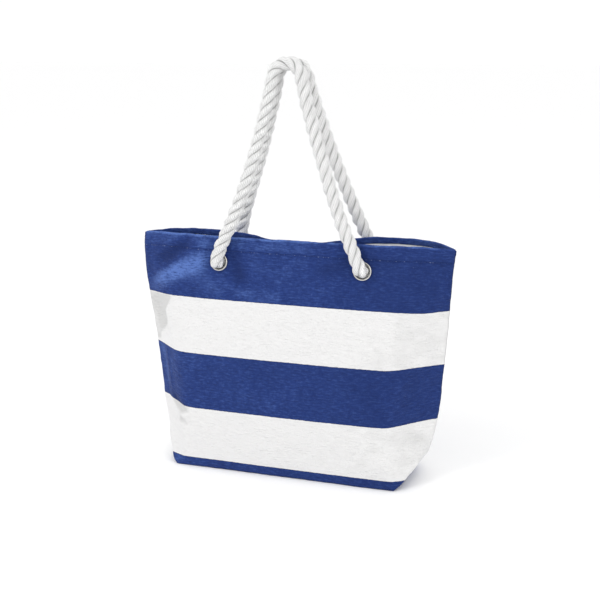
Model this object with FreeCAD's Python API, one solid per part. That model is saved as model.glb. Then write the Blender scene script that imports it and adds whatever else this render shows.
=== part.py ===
import FreeCAD, Part
import math
import os

# Canvas beach bag with two twisted rope handles.
# Frame: +Z up, X along the bag's width, the front faces -Y, origin at the middle of the base on the ground.
# Millimetres.

V = FreeCAD.Vector

# ---------------------------------------------------------------- driving dimensions
RIM_WIDTH = 439.0          # side seam to side seam at the rim
RIM_Z = 323.0              # height of the rim
BASE_WIDTH = 314.0         # boxed base, along X
BASE_DEPTH = 111.7         # boxed base, along Y
RIM_FRONT_Y = -20.0        # the mouth stands open by this much in front of the side seams
RIM_BACK_Y = 37.0          # and by this much behind them
FLAT_X = 130.0             # the front and back faces are flat out to here
CORNER_Z = 51.0            # the boxed corner's crease meets the side seam here
CANVAS_T = 1.2             # outer canvas
SHELL_T = 2.0              # canvas and lining together
FACING = 8.0               # the canvas turned in over the rim
HEM_Z = 305.0              # hem topstitching, 18 mm under the rim
THREAD_W, THREAD_T = 0.8, 0.4
EYELET_X = 100.9           # half the spacing of a handle's two eyelets
EYELET_Z = 289.85
EYELET_HOLE_R = 10.2
EYELET_BARREL_R = 11.0
EYELET_FLANGE_R = 12.7
EYELET_DOME = 2.0
WASHER_R = 13.4
HOLE_R = 11.05             # hole punched in canvas and lining
ROPE_D = 18.0
FOOT_OUT = 12.0            # the rope turns up this far in front of the canvas
STUB_OUT = 1.8             # the fixed rope end stops just short of the turning one
KNOT_R = 17.0
KNOT_T = 24.0

HALF = RIM_WIDTH / 2.0
BX = BASE_WIDTH / 2.0
BY = BASE_DEPTH / 2.0
FRONT_SLOPE = (RIM_FRONT_Y + BY) / RIM_Z      # dy/dz of the front face
BACK_SLOPE = (RIM_BACK_Y - BY) / RIM_Z        # dy/dz of the back face

# Fold line between the face and the side part, and the side seam, by height.
FOLD_X = [(0.0, BX), (51.0, 149.5), (88.0, 146.0), (164.0, 152.0), (240.0, 179.0), (323.0, 178.0)]
SEAM_X = [(0.0, BX), (51.0, 195.0), (88.0, 200.5), (164.0, 207.0), (240.0, 214.5), (323.0, HALF)]
# How far the fold line lies behind the plane of its face.
FOLD_IN = [(0.0, 0.0), (164.0, 0.0), (240.0, 2.3), (323.0, 9.5)]
FOLD_IN_BACK = [(0.0, 0.0), (164.0, 0.0), (240.0, 3.8), (323.0, 17.0)]
LEVELS = [0.0, CORNER_Z, 88.0, 164.0, 240.0, HEM_Z, HEM_Z + THREAD_W, RIM_Z - FACING, RIM_Z]


def at(table, z):
    for (z0, a), (z1, b) in zip(table, table[1:]):
        if z <= z1:
            return a + (b - a) * (z - z0) / (z1 - z0)
    return table[-1][1]


def front_y(z):
    return -BY + FRONT_SLOPE * z


def back_y(z):
    return BY + BACK_SLOPE * z


# ---------------------------------------------------------------- rings of the shell
# A ring runs round the bag: 0 left seam, 1 left front fold, 2, 3 flat front, 4 right front fold,
# 5 right seam, 6 right back fold, 7, 8 flat back, 9 left back fold.
def outline(z):
    fx, sx = at(FOLD_X, z), at(SEAM_X, z)
    fy, by = front_y(z), back_y(z)
    ff, fb = fy + at(FOLD_IN, z), by - at(FOLD_IN_BACK, z)
    return [(-sx, 0.0), (-fx, ff), (-FLAT_X, fy), (FLAT_X, fy), (fx, ff),
            (sx, 0.0), (fx, fb), (FLAT_X, by), (-FLAT_X, by), (-fx, fb)]


def inset(points, t):
    """The outline moved inwards by t, mitred; the two seam points stay on y = 0."""
    n = len(points)
    moved = []
    for i in range(n):
        (ax, ay), (bx, by), (cx, cy) = points[i - 1], points[i], points[(i + 1) % n]
        d1 = (bx - ax, by - ay)
        d2 = (cx - bx, cy - by)
        l1, l2 = math.hypot(*d1), math.hypot(*d2)
        n1 = (-d1[1] / l1, d1[0] / l1)      # inward, since the ring runs anticlockwise
        n2 = (-d2[1] / l2, d2[0] / l2)
        k = 1.0 + n1[0] * n2[0] + n1[1] * n2[1]
        m = ((n1[0] + n2[0]) / k, (n1[1] + n2[1]) / k)
        x, y = bx + t * m[0], by + t * m[1]
        moved.append((x, 0.0) if i in (0, 5) else (x, y))
    return moved


def ring(z, t, lift=0.0):
    return [V(x, y, z + lift) for x, y in (inset(outline(z), t) if t else outline(z))]


def tri(a, b, c):
    return Part.Face(Part.makePolygon([a, b, c, a]))


def strip(lower, upper, ids, corner=False):
    """Triangles between two rings; corner: the crease runs from the base corner up to the seam."""
    faces = []
    for i, j in zip(ids, ids[1:]):
        a, b, c, d = lower[i], lower[j], upper[j], upper[i]
        # the diagonal starts at the fold or flat point, not at the seam
        if i in (0, 5):
            faces += [tri(a, b, d), tri(b, c, d)]
        else:
            faces += [tri(a, b, c), tri(a, c, d)]
    return faces


def poly(points):
    return Part.Face(Part.makePolygon(points + [points[0]]))


def solid(faces, name):
    shell = Part.Shell(faces)
    shape = Part.Solid(shell)
    shape = shape.removeSplitter()
    if shape.Volume < 0:
        shape.reverse()
    if not shape.isValid():
        shape.fix(1e-4, 1e-4, 1e-4)
    print("%-24s valid %s closed %s volume %.0f" % (name, shape.isValid(), shape.isClosed(), shape.Volume))
    return shape


FRONT = [0, 1, 2, 3, 4, 5]
BACK = [5, 6, 7, 8, 9, 0]


def panel(outer, inner, ids, name):
    """A sheet between two stacks of rings, half of the base included, cut along y = 0."""
    faces = []
    for stack in (outer, inner):
        for lo, hi in zip(stack, stack[1:]):
            if min((lo[k] - hi[k]).Length for k in ids) < 1e-6 and max((lo[k] - hi[k]).Length for k in ids) < 1e-6:
                continue
            faces += strip(lo, hi, ids)
    faces.append(poly([outer[0][k] for k in ids]))
    faces.append(poly([inner[0][k] for k in ids]))
    for i, j in zip(ids, ids[1:]):
        faces.append(poly([outer[-1][i], outer[-1][j], inner[-1][j], inner[-1][i]]))
    # the cut through the side seams and the bottom seam: one flat face on y = 0
    s, e = ids[0], ids[-1]
    loop = [r[s] for r in reversed(outer)] + [r[e] for r in outer]
    loop += [r[e] for r in reversed(inner)] + [r[s] for r in inner]
    faces.append(poly(loop))
    return solid(faces, name)


outer_rings = [ring(z, 0.0) for z in LEVELS]
canvas_inner = [ring(z, CANVAS_T, CANVAS_T if z == 0.0 else 0.0) for z in LEVELS[:-1]]
canvas_inner += [ring(z, SHELL_T) for z in LEVELS[-2:]]
lining_outer = [ring(z, CANVAS_T, CANVAS_T if z == 0.0 else 0.0) for z in LEVELS[:-1]]
lining_inner = [ring(z, SHELL_T, SHELL_T if z == 0.0 else 0.0) for z in LEVELS[:-1]]

nodes = {}
nodes["front_panel"] = panel(outer_rings, canvas_inner, FRONT, "front_panel")
nodes["back_panel"] = panel(outer_rings, canvas_inner, BACK, "back_panel")
nodes["lining_front"] = panel(lining_outer, lining_inner, FRONT, "lining_front")
nodes["lining_back"] = panel(lining_outer, lining_inner, BACK, "lining_back")


def thread(ids, name):
    """The hem's topstitching, as one thin thread lying on the canvas."""
    lo, hi = ring(HEM_Z, 0.0), ring(HEM_Z + THREAD_W, 0.0)
    lo2, hi2 = ring(HEM_Z, -THREAD_T), ring(HEM_Z + THREAD_W, -THREAD_T)
    faces = strip(lo, hi, ids) + strip(lo2, hi2, ids)
    for a, b in ((lo, lo2), (hi, hi2)):
        for i, j in zip(ids, ids[1:]):
            faces.append(poly([a[i], a[j], b[j], b[i]]))
    for k in (ids[0], ids[-1]):
        faces.append(poly([lo[k], hi[k], hi2[k], lo2[k]]))
    return solid(faces, name)


nodes["hem_stitching_front"] = thread(FRONT, "hem_stitching_front")
nodes["hem_stitching_back"] = thread(BACK, "hem_stitching_back")

# ---------------------------------------------------------------- eyelets, washers and knots
FRONT_N = V(0, -1.0, FRONT_SLOPE).normalize()
BACK_N = V(0, 1.0, -BACK_SLOPE).normalize()
SIDES = {
    "front_left": (V(-EYELET_X, front_y(EYELET_Z), EYELET_Z), FRONT_N),
    "front_right": (V(EYELET_X, front_y(EYELET_Z), EYELET_Z), FRONT_N),
    "back_left": (V(-EYELET_X, back_y(EYELET_Z), EYELET_Z), BACK_N),
    "back_right": (V(EYELET_X, back_y(EYELET_Z), EYELET_Z), BACK_N),
}
DEEP = SHELL_T * abs(FRONT_N.y)         # depth of the lining's inner face under the canvas
LIP = 0.5
WASHER_T = 1.0


def turned(profile, centre, normal, name):
    """A profile of (radius, height) points, arcs given as ('arc', mid, end), turned about the eyelet's axis."""
    edges, last = [], None
    for item in profile + [profile[0]]:
        if item[0] == "arc":
            mid, end = item[1], item[2]
            edges.append(Part.Arc(V(last[0], 0, last[1]), V(mid[0], 0, mid[1]), V(end[0], 0, end[1])).toShape())
            last = end
        else:
            if last is not None and (abs(last[0] - item[0]) > 1e-9 or abs(last[1] - item[1]) > 1e-9):
                edges.append(Part.LineSegment(V(last[0], 0, last[1]), V(item[0], 0, item[1])).toShape())
            last = item
    face = Part.Face(Part.Wire(edges))
    shape = face.revolve(V(0, 0, 0), V(0, 0, 1), 360.0)
    shape = Part.Solid(shape) if shape.ShapeType == "Shell" else shape
    shape.Placement = FreeCAD.Placement(centre, FreeCAD.Rotation(V(0, 0, 1), normal))
    if shape.Volume < 0:
        shape.reverse()
    print("%-24s valid %s volume %.0f" % (name, shape.isValid(), shape.Volume))
    return shape


w_in = -(DEEP + 0.02)                    # washer seat
w_out = w_in - WASHER_T
lip = w_out - LIP
eyelet_profile = [
    (EYELET_HOLE_R, lip), (EYELET_HOLE_R, 1.0), ("arc", (10.62, 1.76), (11.4, EYELET_DOME)),
    ("arc", (12.32, 1.55), (EYELET_FLANGE_R, 0.6)), (EYELET_FLANGE_R, 0.0), (EYELET_BARREL_R, 0.0),
    (EYELET_BARREL_R, w_out), (12.3, w_out), ("arc", (12.55, w_out - 0.25), (12.3, lip)),
]
washer_profile = [(11.05, w_out), (11.05, w_in), (WASHER_R, w_in), (WASHER_R, w_out + 0.3), (WASHER_R - 0.3, w_out)]
kr, kt = KNOT_R, KNOT_T
knot_profile = [
    (0.0, STUB_OUT), (ROPE_D / 2.0, STUB_OUT), (ROPE_D / 2.0, lip), (12.0, lip),
    ("arc", (kr - 0.9, lip - 4.6), (kr, lip - kt / 2.0)), ("arc", (12.6, lip - kt + 3.4), (4.0, lip - kt)), (0.0, lip - kt),
]
for side, (c, n) in SIDES.items():
    nodes["eyelet_" + side] = turned(eyelet_profile, c, n, "eyelet_" + side)
    nodes["washer_" + side] = turned(washer_profile, c, n, "washer_" + side)
    nodes["rope_knot_" + side] = turned(knot_profile, c, n, "rope_knot_" + side)
    punch = Part.makeCylinder(HOLE_R, 30.0, c - n * 15.0, n)
    half = side.split("_")[0]
    for name in (half + "_panel", "lining_" + half):
        nodes[name] = nodes[name].cut(punch)

# ---------------------------------------------------------------- rope handles
# Route points of a handle's centre line, X and Z; the first and last are the turning points in front of the eyelets.
FRONT_ROUTE = [(-93.0, 316.0), (-79.3, 345.0), (-63.4, 388.0), (-48.3, 438.0), (-37.9, 480.0), (-29.8, 517.0), (-25.0, 554.0),
               (9.0, 554.0), (16.8, 517.0), (28.1, 480.0), (42.2, 438.0), (59.6, 388.0), (76.6, 345.0), (91.0, 316.0)]
BACK_ROUTE = [(-95.5, 316.0), (-89.0, 345.0), (-74.3, 388.0), (-56.3, 438.0), (-43.5, 480.0), (-32.4, 517.0), (-25.0, 554.0),
              (9.0, 554.0), (18.0, 517.0), (28.7, 480.0), (42.6, 438.0), (61.4, 388.0), (78.6, 345.0), (91.4, 316.0)]


def tube(points, name):
    """Straight runs joined by tangent arcs, each as large as its two runs allow, with a ball at each end."""
    edges, radii, start = [], [], points[0]
    for a, b, c in zip(points, points[1:], points[2:]):
        u, w = (b - a), (c - b)
        run = min(u.Length, w.Length)
        u.normalize()
        w.normalize()
        turn = math.acos(max(-1.0, min(1.0, u.dot(w))))
        back = 0.45 * run
        p0, p1 = b - u * back, b + w * back
        r = back / math.tan(turn / 2.0)
        bis = (w - u).normalize()
        mid = b + bis * (r / math.cos(turn / 2.0) - r)
        radii.append(r)
        edges.append(Part.LineSegment(start, p0).toShape())
        edges.append(Part.Arc(p0, mid, p1).toShape())
        start = p1
    edges.append(Part.LineSegment(start, points[-1]).toShape())
    wire = Part.Wire(edges)
    direction = points[1] - points[0]
    circle = Part.Wire(Part.makeCircle(ROPE_D / 2.0, points[0], direction))
    pipe = wire.makePipeShell([circle], True, False)
    if pipe.Volume < 0:
        pipe.reverse()
    section = math.pi * ROPE_D ** 2 / 4.0
    print("%s length %.1f volume %.0f section x length %.0f radii %s" % (
        name, wire.Length, pipe.Volume, section * wire.Length, " ".join("%.0f" % r for r in radii)))
    shape = pipe
    for p in (points[0], points[-1]):
        shape = shape.fuse(Part.makeSphere(ROPE_D / 2.0, p))
    shape = shape.removeSplitter()
    shape = shape.Solids[0] if len(shape.Solids) == 1 else shape
    print("%-24s valid %s solids %d volume %.0f" % (name, shape.isValid(), len(shape.Solids), shape.Volume))
    return shape


def route(xz, foot_l, foot_r, y_of):
    return [foot_l] + [V(x, y_of(z), z) for x, z in xz] + [foot_r]


foot = {s: c + n * FOOT_OUT for s, (c, n) in SIDES.items()}
front_foot_y, front_foot_z = foot["front_left"].y, foot["front_left"].z
back_foot_y, back_foot_z = foot["back_left"].y, foot["back_left"].z
APEX_Z, FRONT_APEX_Y, BACK_APEX_Y = 554.0, -6.0, 13.2


def front_rope_y(z):
    return front_foot_y + (FRONT_APEX_Y - front_foot_y) * (z - front_foot_z) / (APEX_Z - front_foot_z)


def back_rope_y(z):
    if z < 320.0:
        return 49.6
    return 49.6 + (BACK_APEX_Y - 49.6) * (z - 316.0) / (APEX_Z - 316.0)


nodes["rope_handle_front"] = tube(route(FRONT_ROUTE, foot["front_left"], foot["front_right"], front_rope_y), "rope_handle_front")
nodes["rope_handle_back"] = tube(route(BACK_ROUTE, foot["back_left"], foot["back_right"], back_rope_y), "rope_handle_back")
print("front hinge y %.3f z %.3f, back hinge y %.3f z %.3f" % (front_foot_y, front_foot_z, back_foot_y, back_foot_z))

# ---------------------------------------------------------------- export
os.makedirs("parts", exist_ok=True)
for name, shape in nodes.items():
    shape.exportStep("parts/%s.step" % name)
box = Part.makeCompound(list(nodes.values())).BoundBox
print("%d nodes, box %.1f x %.1f x %.1f, low (%.1f %.1f %.1f)" % (
    len(nodes), box.XLength, box.YLength, box.ZLength, box.XMin, box.YMin, box.ZMin))
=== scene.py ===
import math

import bpy
import numpy as np
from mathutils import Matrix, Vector


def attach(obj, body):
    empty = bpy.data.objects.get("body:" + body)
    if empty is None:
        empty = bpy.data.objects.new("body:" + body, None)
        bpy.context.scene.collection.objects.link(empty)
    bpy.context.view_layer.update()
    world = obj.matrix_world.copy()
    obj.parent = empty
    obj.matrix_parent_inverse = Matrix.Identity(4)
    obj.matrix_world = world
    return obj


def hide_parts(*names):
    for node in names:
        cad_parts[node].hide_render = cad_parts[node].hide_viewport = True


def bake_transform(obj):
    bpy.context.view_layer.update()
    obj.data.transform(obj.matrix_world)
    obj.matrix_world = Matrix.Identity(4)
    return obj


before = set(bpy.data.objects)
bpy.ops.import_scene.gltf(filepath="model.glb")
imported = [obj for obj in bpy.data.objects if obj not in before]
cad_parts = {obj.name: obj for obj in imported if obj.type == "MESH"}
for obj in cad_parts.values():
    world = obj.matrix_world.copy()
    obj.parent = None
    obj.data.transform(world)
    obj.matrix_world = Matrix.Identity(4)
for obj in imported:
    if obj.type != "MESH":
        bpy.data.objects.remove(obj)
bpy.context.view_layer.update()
MM = 0.001
scene = bpy.context.scene

# ------------------------------------------------------------------ camera
cam_data = bpy.data.cameras.new("camera")
cam_data.lens = 36.0 * 1035.86 / 600.0
cam_data.sensor_width = 36.0
cam_data.clip_end = 50.0
cam = bpy.data.objects.new("camera", cam_data)
scene.collection.objects.link(cam)
cam.location = (0.42887, -1.30837, 0.5780)
cam.rotation_euler = (math.radians(90.0 - 13.87), 0.0, math.radians(17.84))
scene.camera = cam


# ------------------------------------------------------------------ small helpers
_tables = {}


def vnoise(x, y, seed):
    """Smooth value noise from -1 to 1."""
    if seed not in _tables:
        _tables[seed] = np.random.RandomState(seed).rand(256, 256)
    t = _tables[seed]
    x, y = np.asarray(x, float), np.asarray(y, float)
    xi, yi = np.floor(x).astype(int), np.floor(y).astype(int)
    fx, fy = x - xi, y - yi
    fx, fy = fx * fx * fx * (fx * (fx * 6 - 15) + 10), fy * fy * fy * (fy * (fy * 6 - 15) + 10)
    a, b = t[xi % 256, yi % 256], t[(xi + 1) % 256, yi % 256]
    c, d = t[xi % 256, (yi + 1) % 256], t[(xi + 1) % 256, (yi + 1) % 256]
    return 2 * (a + (b - a) * fx + (c - a) * fy + (a - b - c + d) * fx * fy) - 1


def fbm(x, y, seed, octaves=3, gain=0.5):
    total, amp, norm = 0.0, 1.0, 0.0
    for k in range(octaves):
        total = total + amp * vnoise(np.asarray(x) * 2 ** k, np.asarray(y) * 2 ** k, seed + k)
        norm += amp
        amp *= gain
    return total / norm


def smooth(a, b, x):
    t = np.clip((np.asarray(x, float) - a) / (b - a), 0, 1)
    return t * t * (3 - 2 * t)


def lerp_table(table, x):
    xs, ys = zip(*table)
    return float(np.interp(x, xs, ys))


def pchip(table, x):
    """Monotone cubic through the table's points, so that folds and seams run smoothly."""
    xs, ys = np.array([p[0] for p in table], float), np.array([p[1] for p in table], float)
    h, m = np.diff(xs), np.diff(ys) / np.diff(xs)
    d = np.zeros(len(xs))
    for i in range(1, len(xs) - 1):
        if m[i - 1] * m[i] > 0:
            w1, w2 = 2 * h[i] + h[i - 1], h[i] + 2 * h[i - 1]
            d[i] = (w1 + w2) / (w1 / m[i - 1] + w2 / m[i])
    d[0], d[-1] = m[0], m[-1]
    x = np.clip(np.asarray(x, float), xs[0], xs[-1])
    i = np.clip(np.searchsorted(xs, x, side="right") - 1, 0, len(xs) - 2)
    t = (x - xs[i]) / h[i]
    return ((1 + 2 * t) * (1 - t) ** 2 * ys[i] + t * (1 - t) ** 2 * h[i] * d[i]
            + t * t * (3 - 2 * t) * ys[i + 1] + t * t * (t - 1) * h[i] * d[i + 1])


def make_mesh(name, verts, faces, uv=None, smooth_shade=True, paleness=None):
    """A mesh object from points in millimetres; uv gives one (u, v) for each face corner."""
    me = bpy.data.meshes.new(name)
    me.from_pydata((np.asarray(verts) * MM).tolist(), [], [tuple(int(i) for i in f) for f in faces])
    if uv is not None:
        layer = me.uv_layers.new(name="cloth")
        layer.data.foreach_set("uv", np.asarray(uv, np.float32).ravel())
    # per-point attribute that the canvas shader reads for its painted light and shade
    if paleness is not None:
        at = me.attributes.new("paleness", "FLOAT", "POINT")
        at.data.foreach_set("value", np.asarray(paleness, np.float32))
    if smooth_shade:
        me.polygons.foreach_set("use_smooth", np.ones(len(me.polygons), bool))
    me.update()
    ob = bpy.data.objects.new(name, me)
    scene.collection.objects.link(ob)
    return ob


# ------------------------------------------------------------------ node helpers
def material(name):
    m = bpy.data.materials.new(name)
    m.use_nodes = True
    nt = m.node_tree
    for n in list(nt.nodes):
        nt.nodes.remove(n)
    out = nt.nodes.new("ShaderNodeOutputMaterial")
    bsdf = nt.nodes.new("ShaderNodeBsdfPrincipled")
    nt.links.new(bsdf.outputs[0], out.inputs[0])
    return m, nt, bsdf


class N:
    """Short calls for making and linking nodes."""

    def __init__(self, nt):
        self.nt = nt

    def node(self, kind, **props):
        n = self.nt.nodes.new(kind)
        for k, v in props.items():
            setattr(n, k, v)
        return n

    def put(self, socket, value):
        if hasattr(value, "is_linked") or isinstance(value, bpy.types.NodeSocket):
            self.nt.links.new(value, socket)
        else:
            socket.default_value = value

    def math(self, op, a, b=None, c=None, clamp=False):
        n = self.node("ShaderNodeMath", operation=op, use_clamp=clamp)
        for i, x in enumerate((a, b, c)):
            if x is not None:
                self.put(n.inputs[i], x)
        return n.outputs[0]

    def noise(self, vector, scale, detail=2.0, rough=0.5, dims="3D"):
        n = self.node("ShaderNodeTexNoise", noise_dimensions=dims)
        self.put(n.inputs["Vector"], vector)
        n.inputs["Scale"].default_value = scale
        n.inputs["Detail"].default_value = detail
        n.inputs["Roughness"].default_value = rough
        return n.outputs["Fac"]

    def mapping(self, vector, scale=(1, 1, 1), rot=(0, 0, 0), loc=(0, 0, 0)):
        n = self.node("ShaderNodeMapping")
        self.put(n.inputs["Vector"], vector)
        n.inputs["Scale"].default_value = scale
        n.inputs["Rotation"].default_value = rot
        n.inputs["Location"].default_value = loc
        return n.outputs[0]

    def mix(self, fac, a, b, blend="MIX"):
        n = self.node("ShaderNodeMix", data_type="RGBA", blend_type=blend)
        self.put(n.inputs[0], fac)
        self.put(n.inputs[6], a)
        self.put(n.inputs[7], b)
        return n.outputs[2]

    def ramp(self, fac, stops, mode="LINEAR"):
        n = self.node("ShaderNodeValToRGB")
        n.color_ramp.interpolation = mode
        el = n.color_ramp.elements
        while len(el) > 1:
            el.remove(el[-1])
        el[0].position, el[0].color = stops[0]
        for p, c in stops[1:]:
            e = el.new(p)
            e.color = c
        self.put(n.inputs[0], fac)
        return n.outputs[0]

    def span(self, value, lo, hi, to_lo=0.0, to_hi=1.0):
        n = self.node("ShaderNodeMapRange", interpolation_type="SMOOTHSTEP")
        self.put(n.inputs["Value"], value)
        n.inputs["From Min"].default_value, n.inputs["From Max"].default_value = lo, hi
        n.inputs["To Min"].default_value, n.inputs["To Max"].default_value = to_lo, to_hi
        return n.outputs[0]

    def attribute(self, name):
        n = self.node("ShaderNodeAttribute", attribute_type="GEOMETRY", attribute_name=name)
        return n.outputs["Fac"]

    def bump(self, height, strength, distance, normal=None):
        n = self.node("ShaderNodeBump")
        n.inputs["Strength"].default_value = strength
        n.inputs["Distance"].default_value = distance
        self.put(n.inputs["Height"], height)
        if normal is not None:
            self.put(n.inputs["Normal"], normal)
        return n.outputs[0]


# ------------------------------------------------------------------ materials
BLUE = (0.0140, 0.0352, 0.168, 1)
BLUE_LIGHT = (0.050, 0.100, 0.325, 1)
BLUE_DEEP = (0.0060, 0.0170, 0.090, 1)
# pale blue for painted highlights, and for fading
BLUE_FADED_AND_HIGHLIT = (0.095, 0.175, 0.480, 1)
WHITE = (0.786, 0.781, 0.780, 1)
WHITE_DIM = (0.735, 0.730, 0.720, 1)
WHITE_SHADE = (0.545, 0.543, 0.535, 1)
STRIPES = [0.0133, 0.0849, 0.1627, 0.2403]      # metres up the cloth from the bottom edge


def cloth_uv(n):
    uv = n.node("ShaderNodeUVMap", uv_map="cloth")
    sep = n.node("ShaderNodeSeparateXYZ")
    n.put(sep.inputs[0], uv.outputs[0])
    return uv.outputs[0], sep.outputs[0], sep.outputs[1]


def weave_height(n, uv, u, v, pitch):
    """Plain weave: threads over and under each other, with uneven yarn."""
    wob = n.noise(n.mapping(uv, (90, 420, 1)), 1.0, 1.0)
    wob2 = n.noise(n.mapping(uv, (420, 90, 1)), 1.0, 1.0)
    uu = n.math("ADD", u, n.math("MULTIPLY", wob2, pitch * 0.9))
    vv = n.math("ADD", v, n.math("MULTIPLY", wob, pitch * 0.9))
    k = 2 * math.pi / pitch
    su = n.math("SINE", n.math("MULTIPLY", uu, k / 2))
    sv = n.math("SINE", n.math("MULTIPLY", vv, k / 2))
    cell = n.math("MULTIPLY", su, sv)
    warp = n.math("ABSOLUTE", su)
    weft = n.math("ABSOLUTE", sv)
    ribs = n.math("MULTIPLY", n.math("ADD", warp, weft), 0.35)
    return n.math("ADD", n.math("MULTIPLY", cell, 0.35), ribs)


def canvas_material(name):
    m, nt, bsdf = material(name)
    n = N(nt)
    uv, u, v = cloth_uv(n)
    # per-point painted light and shade, with a little fading, read from the mesh attribute
    paleness = n.attribute("paleness")
    # stripe edges follow the threads, so they waver a little
    edge = n.math("MULTIPLY", n.math("SUBTRACT", n.noise(n.mapping(uv, (260, 40, 1)), 1.0, 2.0), 0.5), 0.0010)
    vs = n.math("ADD", v, edge)
    low = n.math("MULTIPLY", n.math("GREATER_THAN", vs, STRIPES[0]), n.math("LESS_THAN", vs, STRIPES[1]))
    high = n.math("MULTIPLY", n.math("GREATER_THAN", vs, STRIPES[2]), n.math("LESS_THAN", vs, STRIPES[3]))
    white = n.math("ADD", low, high, clamp=True)
    # a darker line of dye along each stripe's edge
    rim = None
    for at in STRIPES:
        d = n.math("LESS_THAN", n.math("ABSOLUTE", n.math("SUBTRACT", vs, at)), 0.0009)
        rim = d if rim is None else n.math("MAXIMUM", rim, d)
    # uneven yarn: slubs run along the width, finer ones up the cloth
    slub_h = n.noise(n.mapping(uv, (105, 520, 1)), 1.0, 3.0, 0.66)
    slub_v = n.noise(n.mapping(uv, (520, 150, 1)), 1.0, 2.0, 0.62)
    grain = n.noise(n.mapping(uv, (230, 400, 1)), 1.0, 2.5, 0.66)
    blotch = n.noise(n.mapping(uv, (19, 24, 1)), 1.0, 4.0, 0.6)
    fleck = n.noise(n.mapping(uv, (300, 560, 1), loc=(3.1, 7.7, 0)), 1.0, 1.5, 0.6)
    thread = n.math("ADD", n.math("MULTIPLY", slub_h, 0.60), n.math("ADD", n.math("MULTIPLY", slub_v, 0.12), n.math("MULTIPLY", grain, 0.28)))
    light = n.math("MULTIPLY_ADD", thread, 8.5, -4.25, clamp=True)
    dark = n.math("MULTIPLY_ADD", thread, -8.5, 4.15, clamp=True)
    blue = n.mix(n.math("MULTIPLY", light, 0.58), BLUE, BLUE_LIGHT)
    blue = n.mix(n.math("MULTIPLY", dark, 0.66), blue, BLUE_DEEP)
    blue = n.mix(n.math("MULTIPLY", n.math("MULTIPLY_ADD", blotch, 3.0, -1.35, clamp=True), 0.12), blue, BLUE_LIGHT)
    # painted light and shade, with a little random fading: paler where the cloth stands out, deeper where it turns in
    up = n.math("MULTIPLY", n.math("MULTIPLY", paleness, n.math("MULTIPLY_ADD", thread, 5.0, -1.65)), 1.0, clamp=True)
    down = n.math("MULTIPLY", paleness, -1.0, clamp=True)
    blue = n.mix(up, blue, BLUE_FADED_AND_HIGHLIT)
    blue = n.mix(n.math("MULTIPLY", down, 0.72), blue, BLUE_DEEP)
    blue = n.mix(n.math("MULTIPLY", rim, 0.70), blue, BLUE_DEEP)
    # the odd pale fibre that shows in dyed cotton
    pale = n.math("MULTIPLY", n.math("MULTIPLY_ADD", fleck, 14.0, -10.1, clamp=True), 0.36)
    blue = n.mix(pale, blue, (0.20, 0.27, 0.55, 1))
    wht = n.mix(n.math("MULTIPLY", dark, 0.50), WHITE, WHITE_DIM)
    wht = n.mix(n.math("MULTIPLY_ADD", blotch, 1.0, -0.38, clamp=True), wht, (0.79, 0.785, 0.775, 1))
    # painted shade on the white stripes where the cloth turns in
    wht = n.mix(n.math("MULTIPLY", n.math("MULTIPLY_ADD", down, 1.75, -0.75, clamp=True), 0.70), wht, WHITE_SHADE)
    col = n.mix(white, blue, wht)
    weave = weave_height(n, uv, u, v, 0.0011)
    tips = n.math("MULTIPLY", n.math("MULTIPLY_ADD", weave, 1.4, -0.35, clamp=True), 0.14)
    col = n.mix(tips, col, n.mix(white, BLUE_LIGHT, (0.85, 0.85, 0.845, 1)))
    n.put(bsdf.inputs["Base Color"], col)
    n.put(bsdf.inputs["Roughness"], n.math("MULTIPLY_ADD", thread, 0.16, 0.78))
    bsdf.inputs["Specular IOR Level"].default_value = 0.16
    bsdf.inputs["Sheen Weight"].default_value = 0.07
    bsdf.inputs["Sheen Roughness"].default_value = 0.45
    bsdf.inputs["Sheen Tint"].default_value = (0.75, 0.82, 1.0, 1)
    h1 = n.bump(weave, 0.60, 0.00035)
    h2 = n.bump(thread, 1.0, 0.0030, h1)
    h3 = n.bump(n.noise(n.mapping(uv, (120, 170, 1)), 1.0, 3.0, 0.6), 0.45, 0.0022, h2)
    n.put(bsdf.inputs["Normal"], h3)
    return m


def lining_material():
    m, nt, bsdf = material("lining_cloth")
    n = N(nt)
    uv, u, v = cloth_uv(n)
    t = n.noise(n.mapping(uv, (700, 900, 1)), 1.0, 2.0, 0.6)
    blotch = n.noise(n.mapping(uv, (24, 20, 1)), 1.0, 3.0)
    c = n.mix(n.math("MULTIPLY_ADD", t, 2.0, -0.5, clamp=True), (0.78, 0.79, 0.81, 1), (0.86, 0.865, 0.875, 1))
    c = n.mix(n.math("MULTIPLY", blotch, 0.25), c, (0.74, 0.745, 0.76, 1))
    n.put(bsdf.inputs["Base Color"], c)
    n.put(bsdf.inputs["Roughness"], n.math("MULTIPLY_ADD", t, 0.15, 0.68))
    bsdf.inputs["Specular IOR Level"].default_value = 0.3
    bsdf.inputs["Sheen Weight"].default_value = 0.1
    weave = weave_height(n, uv, u, v, 0.0006)
    h = n.bump(weave, 0.35, 0.0002)
    h = n.bump(n.noise(n.mapping(uv, (60, 45, 1)), 1.0, 3.0), 0.25, 0.002, h)
    n.put(bsdf.inputs["Normal"], h)
    return m


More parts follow.
